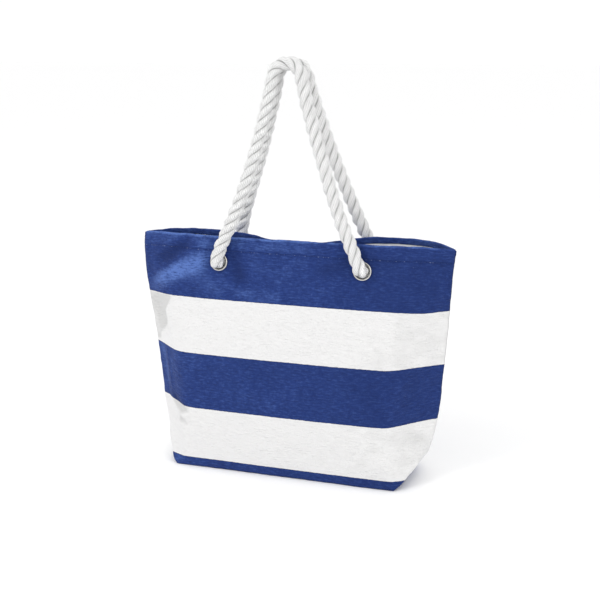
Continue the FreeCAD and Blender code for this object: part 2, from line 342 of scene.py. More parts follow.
def rope_material():
    """Three-strand cotton: the uv map's first number is the angle in the turning frame, the second the length in metres."""
    m, nt, bsdf = material("cotton_rope")
    n = N(nt)
    uv, u, v = cloth_uv(n)
    # yarns run nearly along the rope, so they cross the strands
    fixed = n.math("ADD", u, n.math("MULTIPLY", v, 1.0 / ROPE_LAY))
    wob = n.noise(n.mapping(uv, (9, 60, 1)), 1.0, 3.0, 0.6)
    yarn_at = n.math("ADD", n.math("MULTIPLY_ADD", v, -6.0, n.math("MULTIPLY", fixed, 24.0)), n.math("MULTIPLY", wob, 1.6))
    yarn = n.math("ABSOLUTE", n.math("SINE", n.math("MULTIPLY", yarn_at, math.pi)))
    # fine fibres within each yarn
    comb = n.node("ShaderNodeCombineXYZ")
    n.put(comb.inputs[0], n.math("MULTIPLY", yarn_at, 2.4))
    n.put(comb.inputs[1], n.math("MULTIPLY", v, 260.0))
    fibre = n.noise(comb.outputs[0], 1.0, 3.0, 0.65)
    # how near this point is to the groove between two strands, where painted shade goes
    lobe = n.math("ABSOLUTE", n.math("SINE", n.math("MULTIPLY", u, 3 * math.pi)))
    groove = n.math("POWER", n.math("SUBTRACT", 1.0, lobe), 5.0)
    tone = n.math("MULTIPLY_ADD", fibre, 0.45, n.math("MULTIPLY", yarn, 0.55))
    c = n.mix(n.math("MULTIPLY_ADD", tone, 2.5, -0.55, clamp=True), (0.56, 0.558, 0.55, 1), (0.98, 0.98, 0.978, 1))
    blotch = n.noise(n.mapping(uv, (3, 26, 1)), 1.0, 2.0)
    c = n.mix(n.math("MULTIPLY", blotch, 0.12), c, (0.84, 0.83, 0.81, 1))
    # painted shade in the fine grooves between yarn bundles
    bundle = n.math("ABSOLUTE", n.math("SINE", n.math("MULTIPLY", u, 12 * math.pi)))
    line = n.math("MULTIPLY", n.math("MULTIPLY_ADD", bundle, -4.0, 1.0, clamp=True), n.math("MULTIPLY_ADD", wob, 1.6, -0.45, clamp=True))
    c = n.mix(n.math("MULTIPLY", line, 0.55), c, (0.48, 0.475, 0.465, 1))
    seen = n.math("MULTIPLY_ADD", n.noise(n.mapping(uv, (6, 75, 1)), 1.0, 2.0), 1.9, -0.25, clamp=True)
    # painted shade in the grooves between strands
    c = n.mix(n.math("MULTIPLY", groove, seen), c, (0.15, 0.148, 0.144, 1))
    n.put(bsdf.inputs["Base Color"], c)
    n.put(bsdf.inputs["Roughness"], n.math("MULTIPLY_ADD", fibre, 0.15, 0.80))
    bsdf.inputs["Specular IOR Level"].default_value = 0.18
    bsdf.inputs["Sheen Weight"].default_value = 0.35
    bsdf.inputs["Sheen Roughness"].default_value = 0.5
    h = n.bump(yarn, 0.85, 0.0009)
    h = n.bump(fibre, 0.80, 0.0011, h)
    n.put(bsdf.inputs["Normal"], h)
    return m


def nickel_material():
    m, nt, bsdf = material("nickel_plate")
    n = N(nt)
    tc = n.node("ShaderNodeTexCoord")
    p = tc.outputs["Object"]
    fine = n.noise(p, 900.0, 3.0, 0.6)
    paleness = n.noise(p, 140.0, 3.0, 0.6)
    c = n.mix(n.math("MULTIPLY_ADD", paleness, 1.8, -0.5, clamp=True), (0.50, 0.485, 0.455, 1), (0.72, 0.71, 0.685, 1))
    n.put(bsdf.inputs["Base Color"], c)
    bsdf.inputs["Metallic"].default_value = 1.0
    n.put(bsdf.inputs["Roughness"], n.math("MULTIPLY_ADD", fine, 0.10, n.math("MULTIPLY", paleness, 0.12)))
    n.put(bsdf.inputs["Normal"], n.bump(fine, 0.10, 0.0002))
    return m


def thread_material():
    m, nt, bsdf = material("sewing_thread")
    n = N(nt)
    tc = n.node("ShaderNodeTexCoord")
    p = tc.outputs["Object"]
    f = n.noise(p, 1800.0, 2.0, 0.6)
    odd = n.math("MULTIPLY", n.math("MULTIPLY_ADD", n.noise(p, 210.0, 1.0), 9.0, -4.9, clamp=True), 0.7)
    base = n.mix(f, (0.008, 0.022, 0.115, 1), (0.022, 0.050, 0.20, 1))
    n.put(bsdf.inputs["Base Color"], n.mix(odd, base, (0.26, 0.32, 0.55, 1)))
    n.put(bsdf.inputs["Roughness"], n.math("MULTIPLY_ADD", f, 0.2, 0.5))
    bsdf.inputs["Specular IOR Level"].default_value = 0.2
    n.put(bsdf.inputs["Normal"], n.bump(f, 0.4, 0.0002))
    return m


# ------------------------------------------------------------------ rope handles: route first
ROPE_D = 18.0
ROPE_LAY = 0.0485
EYE_X, EYE_Z = 100.9, 289.85
BY, RIM_Z = 55.85, 323.0
FS, BS = (-20.0 + BY) / RIM_Z, (37.0 - BY) / RIM_Z
N_FRONT = np.array([0, -1.0, FS]) / math.hypot(1, FS)
N_BACK = np.array([0, 1.0, -BS]) / math.hypot(1, BS)
C_FRONT = np.array([0, -BY + FS * EYE_Z, EYE_Z])
C_BACK = np.array([0, BY + BS * EYE_Z, EYE_Z])
X = np.array([1.0, 0, 0])

# Route points from the CAD source, in metres; the first and last lie on each handle's turning axis.
FRONT_POINTS = [
    (-0.1009, -0.035606, 0.291174), (-0.0930, -0.032815, 0.316), (-0.0793, -0.029555, 0.345), (-0.0634, -0.024722, 0.388),
    (-0.0483, -0.019102, 0.438), (-0.0379, -0.014381, 0.480), (-0.0298, -0.010222, 0.517), (-0.0250, -0.006, 0.554),
    (0.0090, -0.006, 0.554), (0.0168, -0.010222, 0.517), (0.0281, -0.014381, 0.480), (0.0422, -0.019102, 0.438),
    (0.0596, -0.024722, 0.388), (0.0766, -0.029555, 0.345), (0.0910, -0.032815, 0.316), (0.1009, -0.035606, 0.291174)]
BACK_POINTS = [
    (-0.1009, 0.050914, 0.290549), (-0.0955, 0.0496, 0.316), (-0.0890, 0.045165, 0.345), (-0.0743, 0.038588, 0.388),
    (-0.0563, 0.030941, 0.438), (-0.0435, 0.024518, 0.480), (-0.0324, 0.018859, 0.517), (-0.0250, 0.0132, 0.554),
    (0.0090, 0.0132, 0.554), (0.0180, 0.018859, 0.517), (0.0287, 0.024518, 0.480), (0.0426, 0.030941, 0.438),
    (0.0614, 0.038588, 0.388), (0.0786, 0.045165, 0.345), (0.0914, 0.0496, 0.316), (0.1009, 0.050914, 0.290549)]


def spline_points(points):
    """Points along the NURBS spline whose control points are given, in metres."""
    cu = bpy.data.curves.new("route", "CURVE")
    cu.dimensions = "3D"
    cu.resolution_u = 32
    sp = cu.splines.new("NURBS")
    sp.points.add(len(points) - 1)
    for p, co in zip(sp.points, points):
        p.co = (*co, 1.0)
    sp.order_u = 3
    sp.use_endpoint_u = True
    ob = bpy.data.objects.new("route", cu)
    scene.collection.objects.link(ob)
    bpy.context.view_layer.update()
    me = bpy.data.meshes.new_from_object(ob)
    got = np.array([v.co for v in me.vertices], float).reshape(-1, 3)
    bpy.data.objects.remove(ob)
    bpy.data.meshes.remove(me)
    bpy.data.curves.remove(cu)
    return got


def resample(line, step):
    seg = np.linalg.norm(np.diff(line, axis=0), axis=1)
    s = np.concatenate([[0], np.cumsum(seg)])
    n = max(2, int(round(s[-1] / step)) + 1)
    at = np.linspace(0, s[-1], n)
    return np.stack([np.interp(at, s, line[:, k]) for k in range(3)], 1), at


def frames(line, first=None):
    """Tangents, and a normal carried along the line without turning about it."""
    t = np.gradient(line, axis=0)
    t /= np.linalg.norm(t, axis=1)[:, None]
    a = np.array(first if first is not None else [0, -1.0, 0])
    nrm = np.zeros_like(line)
    for i in range(len(line)):
        a = a - t[i] * (a @ t[i])
        a = a / np.linalg.norm(a)
        nrm[i] = a
    return t, nrm, np.cross(t, nrm)


def rope_mesh(name, line_m, diameter, lay_m, phase=0.0, around=144, step=0.0011, seed=5, pinch=None, hairs=0):
    """A three-strand rope along a line: three round lobes that turn once in each lay length."""
    line, s = resample(line_m, step)
    t, nn, bb = frames(line)
    phi = np.arange(around) / around          # share of the turn, in the frame that turns with the strands
    rr = 0.292 * diameter
    rad = diameter / 2 * 1.01 - rr
    a = (phi * 3) % 1.0
    a = (a - 0.5) * (2 * math.pi / 3)           # angle from the nearest lobe's middle
    prof = rad * np.cos(a) + np.sqrt(np.maximum(rr ** 2 - (rad * np.sin(a)) ** 2, 0))
    verts, rads = [], []
    rng = np.random.RandomState(seed)
    bundles = np.abs(np.sin(12 * math.pi * phi)) ** 0.7
    for i in range(len(line)):
        # strands swell and shrink a little along the rope
        k = 1 + 0.012 * math.sin(s[i] * 230 + seed) + 0.010 * vnoise(s[i] * 90, 0.5, seed)
        if pinch is not None:
            k *= pinch(s[i], s[-1])
        ang = 2 * math.pi * (phi + s[i] / lay_m) + phase
        fixed = phi + s[i] / lay_m            # yarns lie nearly along the rope
        yarns = np.abs(np.sin(math.pi * (24 * fixed - 6.0 * s[i] / lay_m * 0.05 + 0.35 * vnoise(phi * 3, s[i] * 70, seed + 8))))
        lobe_n = (1 + 0.040 * vnoise(phi * 9 + 0.3, s[i] * 190, seed + 3) + 0.034 * vnoise(phi * 42, s[i] * 560, seed + 4)
                  + 0.040 * (yarns - 0.6) + 0.026 * (bundles - 0.64) * (1 + 0.8 * vnoise(phi * 6, s[i] * 60, seed + 9)))
        r = prof * k * lobe_n
        rads.append(r)
        ring = line[i][None] + r[:, None] * (np.cos(ang)[:, None] * nn[i][None] + np.sin(ang)[:, None] * bb[i][None])
        verts.append(ring)
    nrings = len(line)
    verts = np.concatenate(verts + [line[:1], line[-1:]])
    faces, uvs = [], []
    for i in range(nrings - 1):
        for j in range(around):
            k2 = (j + 1) % around
            faces.append((i * around + j, i * around + k2, (i + 1) * around + k2, (i + 1) * around + j))
            u0, u1 = j / around, (j + 1) / around
            uvs += [(u0, s[i]), (u1, s[i]), (u1, s[i + 1]), (u0, s[i + 1])]
    c0, c1 = nrings * around, nrings * around + 1
    for j in range(around):
        k2 = (j + 1) % around
        faces.append((c0, k2, j))
        uvs += [(0.5, 0.0), ((j + 1) / around, 0.0), (j / around, 0.0)]
        e = (nrings - 1) * around
        faces.append((c1, e + j, e + k2))
        uvs += [(0.5, s[-1]), (j / around, s[-1]), ((j + 1) / around, s[-1])]
    # loose cotton fibres that stand off the strands
    if hairs:
        first, more = len(verts), []
        at = rng.randint(6, nrings - 6, hairs)
        turn = rng.randint(0, around, hairs)
        for i, j, q in zip(at, turn, rng.rand(hairs, 4)):
            ang = 2 * math.pi * (phi[j] + s[i] / lay_m) + phase
            out = math.cos(ang) * nn[i] + math.sin(ang) * bb[i]
            side = np.cross(t[i], out)
            foot = line[i] + out * (rads[i][j] - 0.00012)
            along = t[i] * (1 if q[0] > 0.5 else -1) + side * (q[1] - 0.5) * 1.4
            tip = foot + (along * 0.85 + out * (0.18 + 0.62 * q[2])) * (0.0011 + 0.0019 * q[3])
            w = 0.00010
            more += [foot + out * w, foot + side * w, foot - side * w, tip]
            b = first + len(more) - 4
            faces += [(b, b + 1, b + 3), (b + 1, b + 2, b + 3), (b + 2, b, b + 3), (b, b + 2, b + 1)]
            uvs += [(j / around, s[i])] * 12
        verts = np.concatenate([verts, np.array(more)])
    ob = make_mesh(name, verts / MM, faces, uvs)
    return ob, line, float(s[-1])


ROPE_MAT = rope_material()


def handle(name, points, c, n, body, node):
    """One handle: in through the left eyelet, up and over, and in through the right one."""
    left, right = c - X * EYE_X, c + X * EYE_X
    start = [tuple((left - n * 7.0) * MM), tuple((left + n * 2.5) * MM)]
    end = [tuple((right + n * 2.5) * MM), tuple((right - n * 7.0) * MM)]
    line = spline_points(start + points + end)

    def pinch(s, total):
        """The rope squeezes where it passes its eyelet."""
        d = min(s, total - s) / MM
        return 0.93 + 0.07 * float(smooth(8, 20, d))

    ob, path, length = rope_mesh(name, line, ROPE_D * MM, ROPE_LAY, phase=0.4 if body == "front_handle" else 1.9,
                                 seed=11 if body == "front_handle" else 23, pinch=pinch, hairs=3400)
    ob.data.materials.append(ROPE_MAT)
    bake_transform(ob)
    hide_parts(node)
    return ob, path, length, left


front_rope = handle("rope_handle_front_twist", FRONT_POINTS, C_FRONT, N_FRONT, "front_handle", "rope_handle_front")
back_rope = handle("rope_handle_back_twist", BACK_POINTS, C_BACK, N_BACK, "back_handle", "rope_handle_back")


# ------------------------------------------------------------------ stopper knots inside
def knot(side, c, n, sx):
    """An overhand knot pulled tight against the washer, with a short tail pinched near its end."""
    centre = c + X * EYE_X * sx - n * 15.6
    up = np.cross(n, X) * (1 if np.cross(n, X)[2] > 0 else -1)
    t = np.linspace(0, 2 * math.pi, 160, endpoint=False) + 0.6
    a, b, d = np.sin(t) + 2 * np.sin(2 * t), np.cos(t) - 2 * np.cos(2 * t), -np.sin(3 * t)
    k = 4.35
    line = centre[None] + (a * k * sx)[:, None] * X + (b * k)[:, None] * up[None] + (d * 6.0)[:, None] * n[None]
    ob, _, _ = rope_mesh("knot_%s_turns" % side, np.concatenate([line, line[:2]]) * MM, 10.6 * MM, 0.034, around=72, step=0.0011,
                         seed=31 + int(sx) + (7 if n[1] > 0 else 0))
    tail = [centre + up * (-6) + X * sx * 4, centre - up * 18 + X * sx * 7 + n * 3.0, centre - up * 30 + X * sx * 6 + n * 4.5, centre - up * 41 + X * sx * 8 + n * 3.5]
    tl = spline_points([tuple(p * MM) for p in tail])

    def fray(s, total):
        d = (total - s) / MM
        return 1.0 - 0.16 * math.exp(-((d - 7.0) / 2.6) ** 2) + 0.10 * math.exp(-(d / 3.0) ** 2)

    tb, _, _ = rope_mesh("tail", tl, 14.0 * MM, 0.042, around=60, step=0.0012, seed=41, pinch=fray)
    with_tail = [ob, tb]
    for o in with_tail:
        o.data.materials.append(ROPE_MAT)
    bpy.ops.object.select_all(action="DESELECT")
    for o in with_tail:
        o.select_set(True)
    bpy.context.view_layer.objects.active = ob
    bpy.ops.object.join()
    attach(ob, "bag")
    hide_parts("rope_knot_" + side)
    return ob


for _side, _c, _n, _sx in (("front_left", C_FRONT, N_FRONT, -1.0), ("front_right", C_FRONT, N_FRONT, 1.0),
                           ("back_left", C_BACK, N_BACK, -1.0), ("back_right", C_BACK, N_BACK, 1.0)):
    knot(_side, _c, _n, _sx)


# ------------------------------------------------------------------ the canvas shell
HALF_W = 219.5
BX = 157.0
V_RIM = 325.0
KZ = RIM_Z / V_RIM
V_P = 52.0                 # cloth height of the boxed corner's tip on the side seam
N_IN, N_OUT, N_ROWS = 72, 28, 150
U_POS = np.concatenate([np.linspace(0, BX, N_IN + 1), np.linspace(BX, HALF_W, N_OUT + 1)[1:]])
U = np.concatenate([-U_POS[:0:-1], U_POS])
NC = len(U)                # 201 columns
CI0, CI1 = N_OUT, NC - 1 - N_OUT
VR = np.linspace(0, V_RIM, N_ROWS + 1)
MID = NC // 2

# Right (+1) and left (-1) ends of the bag aren't alike: it stands a little unevenly.
SEAM = {
    1: {"x": [(0, 160.5), (V_P, 196.0), (84.9, 204.2), (162.7, 210.2), (240.3, 215.2), (300, 217.6), (V_RIM, 219.6)],
        "z": [(0, 5.0), (V_P, 50.5), (84.9, 90.5), (162.7, 166.5), (240.3, 239.6), (V_RIM, 319.3)]},
    -1: {"x": [(0, 160.0), (V_P, 194.5), (84.9, 200.5), (162.7, 208.0), (240.3, 219.8), (272, 223.6), (300, 224.4), (V_RIM, 223.2)],
         "z": [(0, 5.0), (V_P, 49.0), (84.9, 87.0), (162.7, 164.5), (240.3, 237.0), (V_RIM, 320.5)]},
}
FOLD = {
    1: [(0, 157), (12, 152), (88, 142.5), (164, 143.5), (240, 181), (290, 183), (323, 182)],
    -1: [(0, 156), (12, 146), (88, 150), (164, 161), (240, 179), (290, 182), (323, 182)],
}
FOLD_IN = {"front": [(0, 0), (164, 0.0), (240, 2.3), (323, 9.5)], "back": [(0, 0), (164, 0), (240, 3.8), (323, 17.0)]}


def wall(side):
    """Rows of points up the cloth, from control points at the flat face, the fold, the boxed corner's crease and the seam."""
    sy = -1.0 if side == "front" else 1.0
    P = np.zeros((N_ROWS + 1, NC, 3))
    for sgn in (1, -1):
        cols = np.where(U * sgn >= 0)[0]
        au = np.abs(U[cols])
        xs, zs = pchip(SEAM[sgn]["x"], VR), pchip(SEAM[sgn]["z"], VR)
        xp, zp = float(pchip(SEAM[sgn]["x"], V_P)), float(pchip(SEAM[sgn]["z"], V_P))
        for r, v in enumerate(VR):
            z = v * KZ
            yp = (-BY + FS * z) if side == "front" else (BY + BS * z)
            fx = float(pchip(FOLD[sgn], z))
            fy = yp - sy * lerp_table(FOLD_IN[side], z)
            ctrl = [(0.0, 0.0, yp, z), (130.0, 130.0, yp, z)]
            if v < V_P:
                uc = BX + (HALF_W - BX) * v / V_P
                k = v / V_P
                if fx < uc - 2 and v > 0:
                    ctrl.append((fx, fx, fy, z))
                out = math.sin(math.pi * k)
                low = math.exp(-((k - 0.10) / 0.15) ** 2) * (1.0 if sgn < 0 else 0.2)
                ctrl.append((uc, BX + (xp - BX) * k + 3.0 * out + 4.2 * low, sy * (BY * (1 - k) + 2.0 * out), zp * k))
                if uc < HALF_W - 0.01:
                    ctrl.append((HALF_W, float(xs[r]), 0.0, float(zs[r])))
            else:
                ctrl.append((fx, fx, fy, z))
                ctrl.append((HALF_W, float(xs[r]), 0.0, float(zs[r])))
            ctrl = np.array(ctrl)
            for k in range(3):
                P[r, cols, k] = np.interp(au, ctrl[:, 0], ctrl[:, k + 1])
            P[r, cols, 0] *= sgn
    return P


WF, WB = wall("front"), wall("back")
# the middle of the front swells a little; the back's rim sags inwards between its eyelets
_uu, _vv = np.meshgrid(U, VR)


def eye_mask(u, v, inner=15.0, outer=34.0):
    d = np.hypot(np.abs(u) - EYE_X, v - EYE_Z / KZ)
    return smooth(inner, outer, d)


bulge = 6.5 * np.sin(np.pi * np.clip(_vv / V_RIM, 0, 1)) ** 0.8 * np.clip(1 - (_uu / 185) ** 2, 0, 1) * eye_mask(_uu, _vv)
WF[..., 1] -= bulge
WB[..., 1] += bulge * 0.8
# the back's rim wanders: it stands open at the ends and falls against the front in the middle
RIM_Y = [(-219.5, 0), (-197, 19), (-172, 33), (-150, 35), (-122, 33), (-100, 29.5), (-75, 21), (-42, 8.5), (0, 3), (42, 6.5),
         (60, 13), (82, 30), (105, 41), (135, 46), (165, 43), (182, 37), (202, 20), (219.5, 0)]
RIM_DROP = [(-219.5, 0), (-122, 0), (-80, 1.0), (-42, 3.8), (0, 6.5), (40, 5.5), (60, 2.2), (84, 0), (219.5, 0)]
_want = pchip(RIM_Y, U) - WB[-1, :, 1]
_fall = smooth(252, V_RIM - 1, _vv) * (0.25 + 0.75 * eye_mask(_uu, _vv, 13.5, 30.0)) * smooth(13.4, 16, np.hypot(np.abs(_uu) - EYE_X, _vv - EYE_Z / KZ))
WB[..., 1] += _want[None, :] * _fall
WB[..., 2] -= pchip(RIM_DROP, U)[None, :] * smooth(200, V_RIM, _vv) ** 1.5

# one index for every point; the seams are shared while the shell is shaped
FI = np.arange((N_ROWS + 1) * NC).reshape(N_ROWS + 1, NC)
BI = FI + FI.size
BI = BI.copy()
BI[:, 0], BI[:, -1] = FI[:, 0], FI[:, -1]
nb = 2 * FI.size
NBR = N_OUT                # rows of the base from its edge to the bottom seam
cols_in = np.arange(CI0, CI1 + 1)
BASE_F = np.zeros((NBR + 1, len(cols_in)), int)
BASE_B = np.zeros((NBR + 1, len(cols_in)), int)
points = [WF.reshape(-1, 3), WB.reshape(-1, 3)]
cloth = {}                 # index -> (u, v) of the points that are new to the base
extra, extra_uv = [], []


def base_point(W, i, c):
    """A point of the base, i rows in from its long edge, between its two end edges."""
    lo, hi = W[0, CI0 - i], W[0, CI1 + i]
    s = abs(U[c]) / BX
    end = hi if U[c] >= 0 else lo
    return [U[c] / BX * abs(end[0]), end[1] * (1 - 0.0 * s), end[2] * s ** 6]


for (B, IX, W) in ((BASE_F, FI, WF), (BASE_B, BI, WB)):
    B[0] = IX[0, CI0:CI1 + 1]
    for i in range(1, NBR + 1):
        for k, c in enumerate(cols_in):
            if c == CI0:
                B[i, k] = IX[0, CI0 - i]
            elif c == CI1:
                B[i, k] = IX[0, CI1 + i]
            elif i == NBR and B is BASE_B:
                B[i, k] = BASE_F[NBR, k]
            else:
                B[i, k] = nb + len(extra)
                extra.append(base_point(W, i, c))
points = np.concatenate(points + [np.array(extra)])


def quads(I, flip):
    a, b, c, d = I[:-1, :-1], I[:-1, 1:], I[1:, 1:], I[1:, :-1]
    q = np.stack([a, b, c, d] if not flip else [a, d, c, b], -1).reshape(-1, 4)
    return q


Q_FW, Q_BW = quads(FI, False), quads(BI, True)
Q_FB, Q_BB = quads(BASE_F, True), quads(BASE_B, False)
ALL_Q = np.concatenate([Q_FW, Q_BW, Q_FB, Q_BB])
ALL_Q = ALL_Q[[len(set(q)) == 4 for q in ALL_Q.tolist()]]

# smoothing: seams move only along themselves, the rim only along itself
E = np.concatenate([ALL_Q[:, [0, 1]], ALL_Q[:, [1, 2]], ALL_Q[:, [2, 3]], ALL_Q[:, [3, 0]]])
E = np.unique(np.sort(E, axis=1), axis=0)
on_seam = np.zeros(len(points), bool)
on_seam[FI[:, 0]] = on_seam[FI[:, -1]] = True
on_rim = np.zeros(len(points), bool)
on_rim[FI[-1]] = on_rim[BI[-1]] = True
fixed = np.zeros(len(points), bool)
fixed[[FI[-1, 0], FI[-1, -1]]] = True
D = np.concatenate([E, E[:, ::-1]])           # directed: D[:, 0] receives from D[:, 1]
keep = ~((on_seam[D[:, 0]] & ~on_seam[D[:, 1]]) | (on_rim[D[:, 0]] & ~on_rim[D[:, 1]]) | fixed[D[:, 0]])
D = D[keep]
DEG = np.bincount(D[:, 0], minlength=len(points)).astype(float)


def relax(P, weight, times, lam=0.5):
    w = (weight * lam * (DEG > 0))[:, None]
    deg = np.maximum(DEG, 1)
    for _ in range(times):
        avg = np.stack([np.bincount(D[:, 0], P[D[:, 1], k], len(P)) for k in range(3)], 1) / deg[:, None]
        P = P + w * (avg - P)
    return P


zz = points[:, 2]
points = relax(points, np.ones(len(points)), 4)
points = relax(points, smooth(22, 95, zz), 70)
points[:, 2] = np.maximum(points[:, 2], 0.4)


def normals_of(P, Q):
    a, b, c, d = P[Q[:, 0]], P[Q[:, 1]], P[Q[:, 2]], P[Q[:, 3]]
    fn = np.cross(c - a, d - b)
    out = np.zeros_like(P)
    for k in range(4):
        for m in range(3):
            out[:, m] += np.bincount(Q[:, k], fn[:, m], len(P))
    return out / np.maximum(np.linalg.norm(out, axis=1), 1e-12)[:, None]


NRM = normals_of(points, ALL_Q)

# ------------------------------------------------------------------ creases, puckers and dents
HEM_V = V_RIM - 18.0


def segment(u, v, a, b, width, height, taper=0.25):
    """A soft ridge (or valley, height below 0) along a line on the cloth."""
    a, b = np.array(a, float), np.array(b, float)
    d = b - a
    L = np.hypot(*d)
    t = ((u - a[0]) * d[0] + (v - a[1]) * d[1]) / L ** 2
    off = ((u - a[0]) * d[1] - (v - a[1]) * d[0]) / L
    ends = smooth(-taper * 0.5, taper, t) * smooth(1 + taper * 0.5, 1 - taper, t)
    return height * np.exp(-(off / width) ** 2) * ends


def detail(u, v, front, left_right):
    """How far the cloth stands out from its smooth shape, in millimetres."""
    s = 0 if front else 50
    mask = eye_mask(u, v, 14.0, 26.0)
    d = 1.5 * fbm(u / 95 + s, v / 80, 101 + s, 3) * smooth(0, 30, v)
    d += 0.55 * fbm(u / 26 + s, v / 34, 111 + s, 3)
    d += 0.14 * fbm(u / 6.0, v / 7.0, 121 + s, 2)
    # the hem: two more layers above its stitching, drawn in along it
    above = smooth(HEM_V - 0.5, HEM_V + 3.0, v)
    tame = 0.35 + 0.65 * smooth(1, 16, HALF_W - np.abs(u))
    d += 0.9 * above * tame - 0.25 * smooth(HEM_V + 10, V_RIM, v)
    line = np.exp(-((v - HEM_V) / 1.9) ** 2)
    d -= 0.80 * line * tame * (0.75 + 0.25 * vnoise(u / 9 + s, 3.1, 131 + s))
    pucker = fbm(u / 9.5 + s, v / 60, 141 + s, 2)
    d += 0.95 * pucker * np.exp(-np.abs(v - HEM_V) / 10.0)
    d += 0.35 * fbm(u / 30 + s, 0.7, 151 + s, 2) * smooth(HEM_V, V_RIM, v)
    # side seams and the boxed corners' seams: a groove with a soft ridge each side
    e = HALF_W - np.abs(u)
    d += -1.0 * np.exp(-(e / 1.7) ** 2) + 0.5 * np.exp(-((e - 4.5) / 3.0) ** 2)
    d += 0.45 * np.exp(-(e / 16) ** 2) * fbm(u / 40, v / 11 + s, 161 + s, 2)
    boxed = (np.abs(u) > BX) * np.exp(-(v / 1.8) ** 2)
    d -= 0.8 * boxed
    # crumpling at the boxed corners
    corner = np.exp(-((np.abs(u) - 190) / 34) ** 2 - ((v - 38) / 32) ** 2)
    d += 1.5 * corner * fbm(u / 15 + s, v / 13, 171 + s, 3)
    if front:
        # drawn from the left eyelet to the left end of the rim
        d += segment(u, v, (-138, 322), (-198, 284), 8.5, -3.6)
        d += segment(u, v, (-112, 292), (-200, 260), 14.0, 3.6)
        d += segment(u, v, (-206, 236), (-186, 172), 12.0, -4.2) * smooth(2, 16, HALF_W - np.abs(u))
        d += segment(u, v, (-155, 318), (-206, 292), 6.0, 1.0)
        d += segment(u, v, (-172, 283), (-214, 262), 6.5, -1.3)
        d += segment(u, v, (-84, 305), (-66, 258), 12.0, -2.4)
        d += segment(u, v, (-88, 280), (-30, 252), 16.0, -0.8)
        # small drags round the right eyelet
        d += segment(u, v, (86, 292), (52, 284), 5.0, -1.5)
        d += segment(u, v, (84, 283), (40, 266), 8.0, 1.0)
        d += segment(u, v, (-16, 300), (34, 288), 12.0, 0.8)
        d += segment(u, v, (112, 300), (150, 306), 6.0, -0.8)
        # fold marks lower down
        d += segment(u, v, (-52, 166), (-50, 92), 2.2, -0.55)
        d += segment(u, v, (-62, 150), (-60, 88), 3.5, 0.45)
        d += segment(u, v, (-186, 92), (-140, 76), 5.5, -2.2)
        d += segment(u, v, (-176, 78), (-150, 66), 4.0, 1.4)
        d += segment(u, v, (-160, 66), (-138, 58), 3.6, -1.8)
        d += segment(u, v, (-205, 150), (-200, 70), 5.0, -1.2)
        d += segment(u, v, (-190, 158), (-184, 92), 5.0, 1.3)
        d += segment(u, v, (-185, 238), (-176, 190), 9.0, -1.4)
        d += segment(u, v, (-160, 232), (-150, 196), 8.0, 0.9)
        d += segment(u, v, (178, 150), (170, 96), 9.0, -1.0)
        d += segment(u, v, (168, 70), (205, 60), 6.0, -1.4)
        d += segment(u, v, (190, 76), (214, 58), 5.0, 1.2)
        d += segment(u, v, (120, 40), (165, 20), 9.0, 0.8)
        d += segment(u, v, (-30, 210), (60, 196), 18.0, 0.8)
    else:
        d += segment(u, v, (128, 318), (192, 284), 8.0, -2.0)
        d += segment(u, v, (112, 290), (190, 262), 13.0, 1.9)
        d += segment(u, v, (-112, 292), (-186, 266), 12.0, 1.7)
        d += segment(u, v, (-126, 316), (-190, 294), 8.0, -1.8)
        d += segment(u, v, (-84, 296), (-20, 262), 13.0, -1.6)
        d += segment(u, v, (84, 296), (26, 268), 12.0, -1.7)
        d += segment(u, v, (40, 160), (46, 92), 2.6, -0.6)
        d += segment(u, v, (150, 80), (196, 96), 6.0, -1.8)
        d += segment(u, v, (-176, 120), (-170, 66), 6.0, -1.4)
        d += segment(u, v, (30, 210), (110, 186), 20.0, 1.1)
        d += segment(u, v, (-130, 60), (-80, 40), 14.0, 0.8)
    return d * mask


disp = np.zeros(len(points))
disp[FI.ravel()] = detail(_uu, _vv, True, None).ravel()
db = detail(_uu, _vv, False, None)
inner_b = BI[:, 1:-1]
disp[inner_b.ravel()] = db[:, 1:-1].ravel()
# the base: nearly flat, a little uneven, with its bottom seam
bu = np.array([p[0] for p in extra])
bv = np.array([p[1] for p in extra])
lift = 0.9 + 0.8 * fbm(bu / 45, bv / 30, 201, 3) + 1.0 * np.exp(-(bv / 2.0) ** 2)
points += NRM * disp[:, None]
points[nb:, 2] = np.maximum(points[nb:, 2], 0) + lift * smooth(0, 8, BY - np.abs(bv)) * 0.8
points[:, 2] = np.maximum(points[:, 2], 0.25)
NRM = normals_of(points, ALL_Q)

# rim line: never ruled straight
for IX, sd in ((FI, 301), (BI, 311)):
    wav = 1.0 * fbm(U / 34, 0.2, sd, 3) + 0.45 * fbm(U / 10, 0.6, sd + 4, 2)
    for k in range(1, 7):
        points[IX[-k], 2] += wav * (1 - (k - 1) / 6.0) * smooth(0, 12, HALF_W - np.abs(U))



def blur(a, k):
    for ax in (0, 1):
        pad = [(k, k) if i == ax else (0, 0) for i in range(2)]
        c = np.cumsum(np.pad(a, pad, "edge"), axis=ax)
        c = np.insert(c, 0, 0, axis=ax)
        w = 2 * k + 1
        n = a.shape[ax]
        a = (np.take(c, np.arange(w, w + n), axis=ax) - np.take(c, np.arange(n), axis=ax)) / w
    return a


